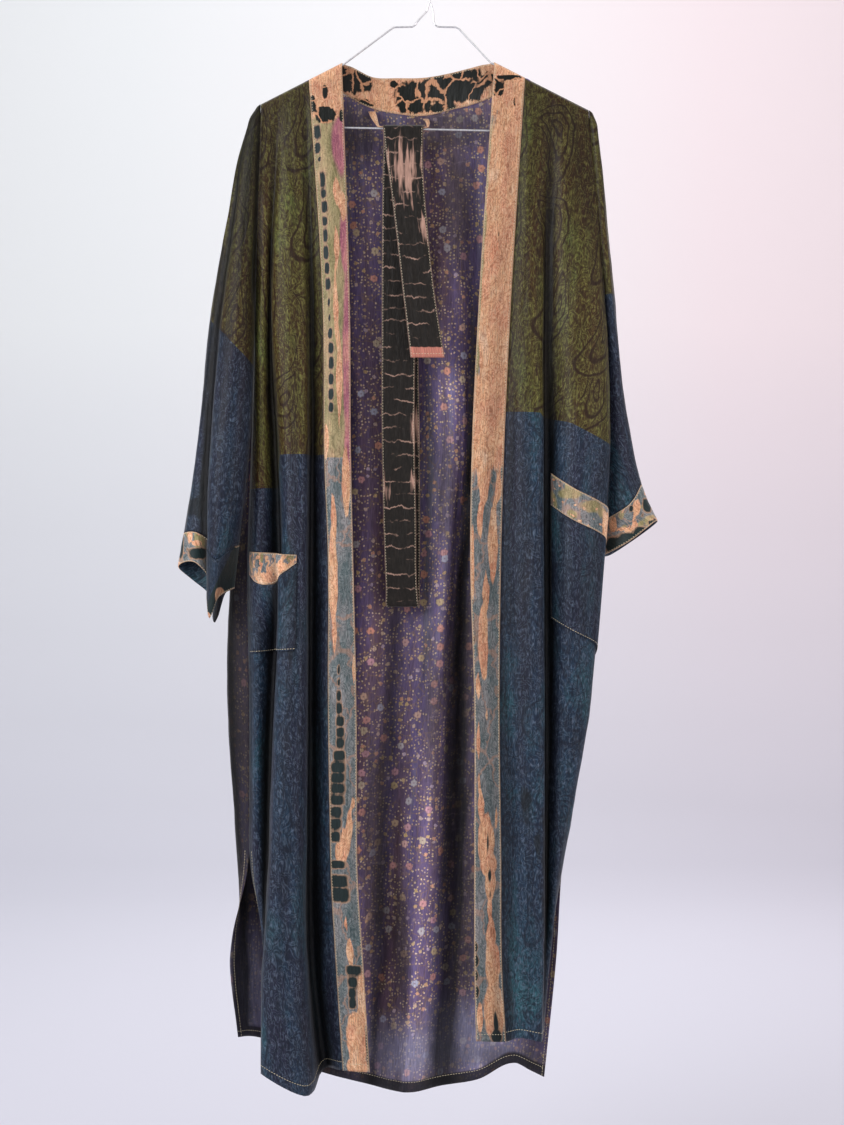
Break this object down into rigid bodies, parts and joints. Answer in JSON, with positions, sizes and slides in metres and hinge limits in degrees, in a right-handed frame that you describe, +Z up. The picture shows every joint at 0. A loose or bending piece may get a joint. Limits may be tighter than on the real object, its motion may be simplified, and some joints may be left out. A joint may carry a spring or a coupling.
{
  "type": "kimono robe on a wire hanger",
  "caption": "Long open-front robe with banded edges, wide sleeves, patch pockets and a loose belt, hung on a wire hanger.",
  "frame": {"origin": "inside top of the hanger's hook, where it rests on a rail", "axes": "+Z up, -Y out of the robe's front, +X to the right as seen from the front"},
  "size_m": [0.614, 0.1322, 1.4762],
  "materials": {
    "printed_silk": "soft satin, dyed and printed",
    "band_silk": "soft satin, tie-dyed",
    "floral_silk": "soft satin, floral print",
    "steel_wire": "bright drawn wire"
  },
  "bodies": {
    "root": {"back": "floral_silk", "front_left": "printed_silk", "front_right": "printed_silk", "band_left": "band_silk", "band_right": "band_silk", "collar": "band_silk", "sleeve_left": "printed_silk", "sleeve_right": "printed_silk", "cuff_left": "band_silk", "cuff_right": "band_silk", "pocket_left": "printed_silk", "pocket_right": "printed_silk", "pocket_band_left": "band_silk", "pocket_band_right": "band_silk", "neck_loop": "band_silk", "belt": "band_silk", "hanger_hook": "steel_wire", "hanger_arm_left": "steel_wire", "hanger_arm_right": "steel_wire", "hanger_bar": "steel_wire"}
  },
  "joints": []
}
